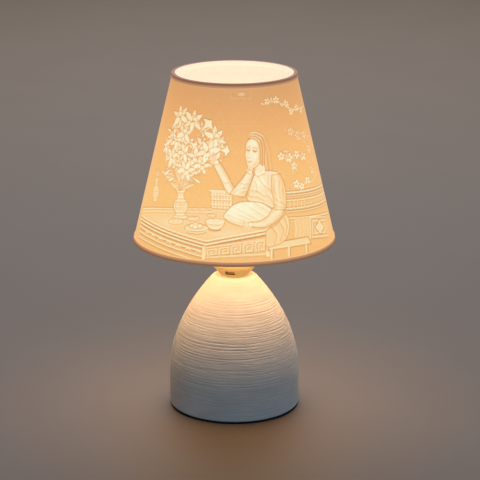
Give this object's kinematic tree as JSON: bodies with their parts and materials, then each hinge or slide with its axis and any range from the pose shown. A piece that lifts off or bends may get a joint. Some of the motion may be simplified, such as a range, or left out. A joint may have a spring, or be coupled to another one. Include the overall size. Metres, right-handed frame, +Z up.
{
  "type": "table lamp",
  "caption": "Bedside table lamp with a ridged ogive ceramic base, a screw lampholder and a conical translucent relief shade that turns on it.",
  "frame": {"origin": "middle of the foot pad's underside", "axes": "+Z up along the lamp's axis; the front, with the relief picture, faces -Y"},
  "size_m": [0.1844, 0.1844, 0.3124],
  "materials": {
    "foot": "matt black foam pad",
    "fibreboard": "pressed brown fibreboard",
    "ceramic": "matt off-white, with fine turned ridges",
    "grommet": "satin black rubber",
    "steel": "zinc plated",
    "holder_plastic": "satin ivory moulded plastic",
    "insert_plastic": "matt white moulded insulator",
    "brass": "stamped bright brass",
    "shade_sheet": "translucent ivory sheet with a carved relief picture, lit from inside",
    "edging": "tan woven trim tape",
    "white_wire": "white powder coat",
    "black_insulator": "glossy black insulator",
    "bulb_cap": "pressed screw cap",
    "bulb_collar": "satin white moulded collar",
    "circuit_board": "green circuit board",
    "led_board": "white solder mask on aluminium",
    "bulb_globe": "opal diffuser, lit warm white"
  },
  "bodies": {
    "stand": {"foot_pad": "foot", "bottom_cover": "fibreboard", "base_shell": "ceramic", "cord_inlet": "grommet", "nipple_tube": "steel", "nipple_washer": "steel", "nipple_nut": "steel", "holder_cap": "holder_plastic", "nipple_lock": "holder_plastic", "holder_body": "holder_plastic", "contact_block": "insert_plastic", "terminal_screw_live": "brass", "terminal_screw_neutral": "brass", "screw_shell": "brass", "centre_contact": "brass"},
    "shade": {"shade_wall": "shade_sheet", "top_wire": "steel", "bottom_wire": "steel", "top_edging": "edging", "bottom_edging": "edging", "fitter_ring": "white_wire", "fitter_spoke_1": "white_wire", "fitter_spoke_2": "white_wire", "fitter_spoke_3": "white_wire", "fitter_spoke_4": "white_wire"},
    "slip_ring": {"slip_washer": "fibreboard"},
    "shade_nut": {"shade_nut": "holder_plastic"},
    "bulb_base": {"bulb_contact": "steel"},
    "bulb": {"bulb_insulator": "black_insulator", "bulb_cap": "bulb_cap", "bulb_housing": "bulb_collar", "bulb_driver": "circuit_board", "bulb_board": "led_board", "bulb_globe": "bulb_globe"}
  },
  "joints": [
    {"name": "shade_swivel", "type": "hinge", "parent": "stand", "child": "shade", "pos_m": [0, 0, 0.161], "axis": [0, 0, 1], "continuous": true},
    {"name": "nut_rise", "type": "slide", "parent": "stand", "child": "slip_ring", "axis": [0, 0, 1], "range_m": [0, 0.01]},
    {"name": "nut_turn", "type": "hinge", "parent": "slip_ring", "child": "shade_nut", "pos_m": [0, 0, 0.165], "axis": [0, 0, 1], "range_deg": [0, 1441]},
    {"name": "bulb_rise", "type": "slide", "parent": "stand", "child": "bulb_base", "axis": [0, 0, 1], "range_m": [0, 0.01815]},
    {"name": "bulb_turn", "type": "hinge", "parent": "bulb_base", "child": "bulb", "pos_m": [0, 0, 0.18], "axis": [0, 0, 1], "range_deg": [0, 1801]}
  ],
  "couplings": [
    {"joint": "nut_turn", "follows": "nut_rise", "rad_per_m": 2513.3},
    {"joint": "bulb_turn", "follows": "bulb_rise", "rad_per_m": 1731.4}
  ]
}
